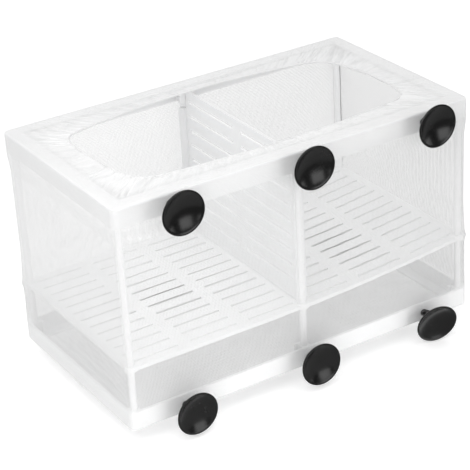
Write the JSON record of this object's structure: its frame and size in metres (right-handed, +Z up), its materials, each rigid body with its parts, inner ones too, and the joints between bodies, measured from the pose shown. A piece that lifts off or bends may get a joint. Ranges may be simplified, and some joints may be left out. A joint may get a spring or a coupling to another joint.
{
  "type": "fish breeding box",
  "caption": "Net-covered box that hangs on aquarium glass by suction cups, with a slotted tray that slides on its posts and a slotted divider between two pens",
  "frame": {"origin": "Centre of the underside of the bag's floor, which is the base mount.", "axes": "+X runs along the long side from left to right, -Y is the side with the suction cups, +Z is up."},
  "size_m": [0.2648, 0.1616, 0.1692],
  "materials": {
    "frame_plastic": "smooth moulded white",
    "post_plastic": "smooth extruded white",
    "tray_plastic": "smooth moulded white",
    "divider_plastic": "smooth moulded white",
    "net_mesh": "fine sheer knitted mesh",
    "hem_binding": "folded mesh over elastic",
    "seam_thread": "folded and stitched mesh",
    "cup_rubber": "glossy moulded black"
  },
  "bodies": {
    "cage": {"top_frame": "frame_plastic", "bottom_frame": "frame_plastic", "post_front_left": "post_plastic", "post_front_middle": "post_plastic", "post_front_right": "post_plastic", "post_back_left": "post_plastic", "post_back_middle": "post_plastic", "post_back_right": "post_plastic", "net_front": "net_mesh", "net_back": "net_mesh", "net_left": "net_mesh", "net_right": "net_mesh", "net_floor": "net_mesh", "net_collar": "net_mesh", "elastic_hem": "hem_binding", "corner_seam": "seam_thread"},
    "tray": {"breeding_tray": "tray_plastic"},
    "divider": {"divider": "divider_plastic"},
    "cup_top_left": {"suction_cup_top_left": "cup_rubber"},
    "cup_top_middle": {"suction_cup_top_middle": "cup_rubber"},
    "cup_top_right": {"suction_cup_top_right": "cup_rubber"},
    "cup_bottom_left": {"suction_cup_bottom_left": "cup_rubber"},
    "cup_bottom_middle": {"suction_cup_bottom_middle": "cup_rubber"},
    "cup_bottom_right": {"suction_cup_bottom_right": "cup_rubber"}
  },
  "joints": [
    {"name": "tray_slide", "type": "slide", "parent": "cage", "child": "tray", "axis": [0, 0, 1], "range_m": [-0.0277, 0]},
    {"name": "divider_lift", "type": "slide", "parent": "tray", "child": "divider", "axis": [0, 0, 1], "range_m": [0, 0.002]},
    {"name": "cup_top_left_spin", "type": "hinge", "parent": "cage", "child": "cup_top_left", "pos_m": [-0.094, -0.0733, 0.147], "axis": [0, -1, 0], "continuous": true},
    {"name": "cup_top_middle_spin", "type": "hinge", "parent": "cage", "child": "cup_top_middle", "pos_m": [0, -0.0733, 0.147], "axis": [0, -1, 0], "continuous": true},
    {"name": "cup_top_right_spin", "type": "hinge", "parent": "cage", "child": "cup_top_right", "pos_m": [0.094, -0.0733, 0.147], "axis": [0, -1, 0], "continuous": true},
    {"name": "cup_bottom_left_spin", "type": "hinge", "parent": "cage", "child": "cup_bottom_left", "pos_m": [-0.094, -0.0733, 0.0068], "axis": [0, -1, 0], "continuous": true},
    {"name": "cup_bottom_middle_spin", "type": "hinge", "parent": "cage", "child": "cup_bottom_middle", "pos_m": [0, -0.0733, 0.0068], "axis": [0, -1, 0], "continuous": true},
    {"name": "cup_bottom_right_spin", "type": "hinge", "parent": "cage", "child": "cup_bottom_right", "pos_m": [0.094, -0.0733, 0.0068], "axis": [0, -1, 0], "continuous": true}
  ]
}
